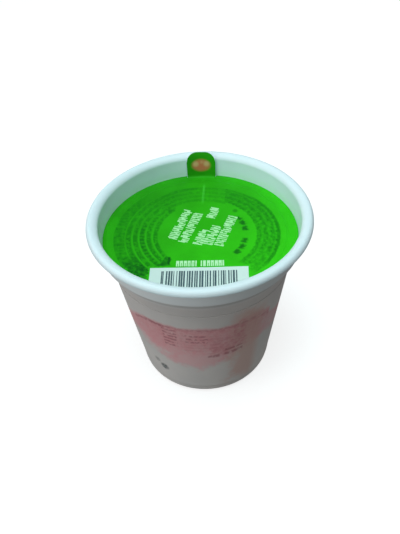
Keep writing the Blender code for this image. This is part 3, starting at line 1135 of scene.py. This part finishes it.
# Fields on it: left, right, bottom, top and softness
PALE_FIELD = (-11.0, 9.0, 15.0, 31.0, 4.5)
DEEP_FIELD = (10.0, 16.4, 30.5, 47.0, 1.6)
DEEP_MIDDLE_FIELD = (1.0, 18.0, 25.0, 41.0, 4.0)
DEEP_TOP_EDGE = (42.3, 44.8, 0.7)
DEEP_LOW_LINE = (18.2, 19.2, 0.4)
TEXT_COLUMN = (-13.6, -8.2, 32.0, 43.0, 0.2)
TEXT_BLOCK = (-5.6, 2.2, 35.8, 41.1, 0.2)
FAINT_TEXT_BLOCK = (-7.6, 7.0, 30.0, 41.0, 0.6)
HEAVY_TEXT_LEFT = (1.5, 6.6, 25.8, 29.4, 0.8)
HEAVY_TEXT_RIGHT = (7.4, 15.4, 26.4, 31.4, 0.9)
TEXT_TOP_ROW = (43.4, 45.2, 0.2)
BACK_TEXT_HEIGHT = (28.5, 36.0, 0.2)
TOP_LINE = (42.8, 44.6, 0.6)
TOP_LINE_REACH = (-33.0, -8.5, 5.0)

# Small print on it: where its rows start, their pitch and the seed of their specks
FRONT_ROWS_START = 32.0
FRONT_ROW_PITCH = 1.9
FRONT_SEED = 37.0
HEAVY_ROWS_START = 25.0
HEAVY_ROW_PITCH = 3.0
HEAVY_ROW_SLANT = 0.12
HEAVY_SEED = 53.0
BACK_ROWS_START = 27.0
BACK_ROW_PITCH = 1.5
BACK_SEED = 43.0

# Blocks of it at the sides and at the back: how far round its middle is, and where its edge starts and ends
SIDE_BLOCK_PLACE = 52.0
SIDE_BLOCK_EDGE = (14.0, 14.4)
BACK_BLOCK_PLACE = 82.0
BACK_BLOCK_EDGE = (5.0, 5.4)

# Smudges: place, radius and softness
SMUDGE = ((-17.4, 13.4), 2.6, 1.4)
FAINT_SMUDGE = ((-20.6, 16.0), 2.2, 1.6)


def hanging(along, z):
    """The height as the band's top edge sees it: the edge hangs lower at the sides than at the front."""
    side = abs(along)
    return z + side.rise(*HANG_START) * side.fall(*HANG_END) * HANG_DROP


def rose_band(along, z, ragged, fine):
    """The band of rose round the side, ragged at both edges and deepest left of the front's middle."""
    top = (hanging(along, z) + ragged * 0.2 + fine * 0.4).fall(*BAND_TOP)
    beyond = (abs(along + BAND_DEEPEST_LEFT) - BAND_FLAT_WIDTH).either(0.0).both(BAND_SLOPE_WIDTH)
    low_edge = beyond * BAND_SLOPE + BAND_FOOT
    lighter = along.within(*BAND_LIGHTER) * 0.3
    return top * (z + ragged + fine - low_edge).rise(-BAND_SOFT, BAND_SOFT) * (1 - lighter)


def patchy(ragged, fine):
    """How strong the rose ink is, a little uneven."""
    return (ragged * 0.06 + fine * 0.10 + 0.88).both(1.0)


def print_front(finish, along, z, ragged, fine, colour):
    """The front: the band, deeper fields on it, rows of small print and a few dark smudges."""
    high = hanging(along, z)
    shoulder = (high + fine).fall(46.0, 48.4) * high.rise(42.0, 44.0) * (along + fine).rise(12.0, 13.6)
    rose = rose_band(along, z, ragged, fine).either(shoulder * 0.8)
    colour = finish.colour(rose * patchy(ragged, fine), colour, ROSE)
    greyed = (along + ragged).rise(7.0, 14.0) * along.fall(19.0, 25.2) * (z + ragged).within(3.0, 54.0, 7.0)
    colour = finish.colour(greyed * 0.8, colour, ROSE_GREY)
    pale = block(along + ragged, z + fine, *PALE_FIELD)
    colour = finish.colour(pale * rose * 0.7, colour, ROSE_PALE)
    deep = block(along + fine, z + ragged * 0.5, *DEEP_FIELD).either(high.within(*DEEP_TOP_EDGE) * 0.75)
    deep = deep.either(block(along + ragged, z, *DEEP_MIDDLE_FIELD) * 0.75)
    deep = deep.either(z.within(*DEEP_LOW_LINE) * 0.6)
    deep = deep.either((z + ragged).rise(26.0, 42.0) * 0.42)
    colour = finish.colour(deep * rose * (fine * 0.5 + 0.55).either(0.0).both(1.0), colour, ROSE_DEEP)

    rows = small_print(finish, along, z - FRONT_ROWS_START, FRONT_ROW_PITCH, FRONT_SEED, 0.6)
    zone = block(along, z, *TEXT_COLUMN).either(block(along, z, *TEXT_BLOCK) * 0.9)
    zone = zone.either(high.within(*TEXT_TOP_ROW) * 0.5).either(block(along, z, *FAINT_TEXT_BLOCK) * 0.25)
    slanting = z - along * HEAVY_ROW_SLANT - HEAVY_ROWS_START
    heavy = small_print(finish, along, slanting, HEAVY_ROW_PITCH, HEAVY_SEED, 0.6, 0.40)
    heavy = heavy * (block(along, z, *HEAVY_TEXT_LEFT) + block(along, z, *HEAVY_TEXT_RIGHT))
    line = (high + fine * 0.3).within(*TOP_LINE) * along.within(*TOP_LINE_REACH) * (fine * 0.5 + 0.85)
    text = rows * zone * 0.6 + heavy * 0.6 + line * 0.5
    colour = finish.colour(text, colour, ROSE_INK)

    smudges = disc(along, z, *SMUDGE).either(disc(along, z, *FAINT_SMUDGE) * 0.6)
    grey = smudges * (fine * 1.2 + 0.95).both(1.0).either(0.0)
    return finish.colour(grey, colour, GREY_INK), text


def print_back(finish, along, z, ragged, fine, colour):
    """The sides and the back: the band, and blocks of small print on it."""
    rose = rose_band(along, z, ragged, fine)
    colour = finish.colour(rose * patchy(ragged, fine), colour, ROSE)
    rows = small_print(finish, along, z - BACK_ROWS_START, BACK_ROW_PITCH, BACK_SEED, 0.9)
    side_block = abs(abs(along) - SIDE_BLOCK_PLACE).fall(*SIDE_BLOCK_EDGE)
    back_block = abs(abs(along) - BACK_BLOCK_PLACE).fall(*BACK_BLOCK_EDGE)
    text = rows * (side_block + back_block) * z.within(*BACK_TEXT_HEIGHT) * 0.42
    return finish.colour(text, colour, ROSE_INK), text


def side_print(name, draw):
    """A finish of part of the side: off-white, and on it what draw prints there."""
    finish = Finish(bpy.data.materials.new(name), "Principled BSDF")
    place = finish.place()
    x, y, z = finish.parts(place)
    along = finish.math("ARCTAN2", x, -y) * SIDE_RADIUS
    cloudy = finish.cloud(place, CLOUD_SCALE, 3.0)
    ragged = (finish.cloud(place, 0.14, 4.0, 0.6) - 0.5) * RAGGED_REACH
    fine = (finish.cloud(place, 0.7, 3.0, 0.65) - 0.5) * FINE_REACH
    grain = finish.cloud(place, GRAIN_SCALE, 3.0)
    colour, text = draw(finish, along, z, ragged, fine, coating(finish, cloudy))
    finish.shade(
        Base_Color=colour,
        Roughness=0.40 + grain * 0.10,
        Specular_IOR_Level=0.35,
        Normal=finish.relief(grain * 0.3 + cloudy * 3.0 + text * 0.05, 0.05 * MM),
    )
    return finish.owner


# Camera, from the outline of the lip and the body in the photo
VIEW_ELEVATION = radians(43.15)
VIEW_TURN = radians(3.4)
VIEW_ROLL = radians(-3.43)
VIEW_DISTANCE = 0.235
VIEW_TARGET = (-0.79 * MM, 0.0, HEIGHT - 26.42 * MM)
VIEW_LENS = 41.69

# Floor and room: the dim room lightens to the left and downwards
FLOOR_REACH = 40.0
ROOM_LEVEL = 0.215
ROOM_LEAN = 0.03
ROOM_LEAST = 0.05

# Soft lights: name, place, size, power and colour
LIGHTS = (
    ("key", (-0.03, -0.10, 0.88), 0.55, 6.5, (0.76, 0.975, 1.0)),
    ("fill", (-0.68, -0.36, 0.32), 0.5, 2.0, (1.0, 0.98, 0.97)),
)


def add_camera():
    camera = bpy.data.objects.new("camera", bpy.data.cameras.new("camera"))
    bpy.context.scene.collection.objects.link(camera)
    back = Vector((0.0, -cos(VIEW_ELEVATION), sin(VIEW_ELEVATION)))
    side = Vector((1.0, 0.0, 0.0))
    up = back.cross(side)
    right = cos(VIEW_ROLL) * side + sin(VIEW_ROLL) * up
    above = cos(VIEW_ROLL) * up - sin(VIEW_ROLL) * side
    aim = Matrix((right, above, back)).transposed().to_4x4()
    aim.translation = Vector(VIEW_TARGET) + back * VIEW_DISTANCE
    camera.matrix_world = Matrix.Rotation(VIEW_TURN, 4, "Z") @ aim
    camera.data.lens = VIEW_LENS
    camera.data.clip_start = 0.01
    bpy.context.scene.camera = camera


def add_floor():
    """A plain pale floor, whose own faint light keeps it pale round the cup."""
    finish = Finish(bpy.data.materials.new("pale floor"), "Principled BSDF")
    cloudy = finish.cloud(finish.place(), 0.004, 2.0)
    finish.shade(
        Base_Color=finish.colour(cloudy, FLOOR_DARK, FLOOR_LIGHT),
        Roughness=0.9,
        Emission_Color=(1.0, 1.0, 1.0, 1.0),
        Emission_Strength=0.78,
    )
    mesh = bpy.data.meshes.new("floor")
    corners = [(x * FLOOR_REACH, y * FLOOR_REACH, 0.0) for x, y in ((-1, -1), (1, -1), (1, 1), (-1, 1))]
    mesh.from_pydata(corners, [], [(0, 1, 2, 3)])
    mesh.materials.append(finish.owner)
    floor = bpy.data.objects.new("floor", mesh)
    bpy.context.scene.collection.objects.link(floor)
    floor.visible_diffuse = False
    floor.visible_glossy = False


def add_softbox(name, place, size, power, colour):
    light = bpy.data.lights.new(name, "AREA")
    light.shape = "DISK"
    light.size = size
    light.energy = power
    light.color = colour
    lamp = bpy.data.objects.new(name, light)
    bpy.context.scene.collection.objects.link(lamp)
    lamp.location = place
    lamp.rotation_euler = (Vector(place) - Vector((0.0, 0.0, HEIGHT))).to_track_quat("Z", "Y").to_euler()


def add_surroundings():
    """Pale all round for the camera, and a dim room that is lighter on the left for the object."""
    world = bpy.data.worlds.new("studio")
    bpy.context.scene.world = world
    finish = Finish(world, "Background")
    x, _, z = finish.parts(finish.node("ShaderNodeTexCoord", output=0))
    seen = finish.node("ShaderNodeLightPath")
    light = (ROOM_LEVEL - x * ROOM_LEAN - z * ROOM_LEAN).either(ROOM_LEAST)
    room = finish.colour(light, ROOM_DARK, ROOM_LIGHT)
    finish.shade(Color=finish.colour(seen, room, BACKDROP))


def main():
    add_cup(cup_plastic())
    add_side_print(side_print("side print, front", print_front), side_print("side print, back", print_back))
    prints = (print_left, print_right, print_middle, print_panel, print_tab)
    front = [film_print(f"film print, {part}", draw) for part, draw in zip(PRINT_PARTS, prints)]
    add_film(front, film_underside())
    add_marks(white_ink())
    add_camera()
    add_floor()
    for light in LIGHTS:
        add_softbox(*light)
    add_surroundings()
    bpy.context.scene.view_settings.view_transform = "Standard"


main()
